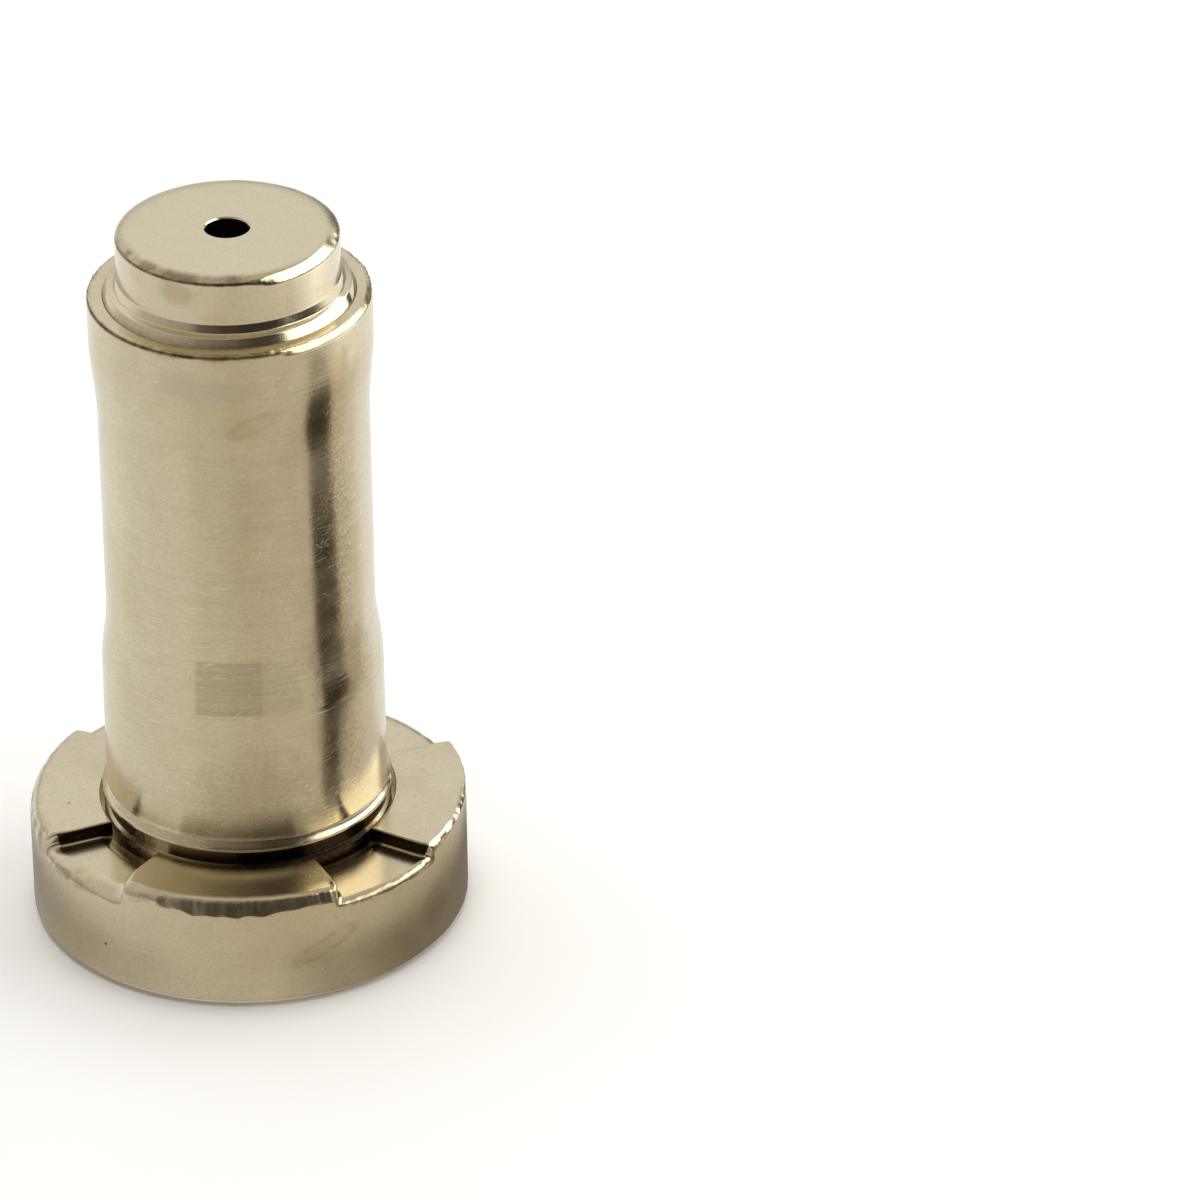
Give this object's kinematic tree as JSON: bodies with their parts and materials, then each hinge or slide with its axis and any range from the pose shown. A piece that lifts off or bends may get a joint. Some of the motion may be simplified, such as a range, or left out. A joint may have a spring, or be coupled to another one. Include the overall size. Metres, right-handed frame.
{
  "type": "torch nozzle",
  "caption": "Waisted tubular gas nozzle: a stepped tip with a small straight orifice, and a slotted clamping flange with a deep counterbore round its open mouth.",
  "frame": {"origin": "centre of the flange's open rim face, on the gas axis", "axes": "+Z along the gas axis from the open rim to the tip; +X at 40.5 degrees from a gas slot's centre line"},
  "size_m": [0.0128, 0.0128, 0.022],
  "materials": {
    "barrel": "nickel plated, satin, fine turned grain",
    "orifice_tip": "nickel plated, smooth satin",
    "flange_ring": "nickel plated, grainy satin, worn edges",
    "seat_ring": "nickel plated, fine turning ridges"
  },
  "bodies": {
    "root": {"barrel": "barrel", "orifice_tip": "orifice_tip", "flange_ring": "flange_ring", "seat_ring": "seat_ring"}
  },
  "joints": []
}
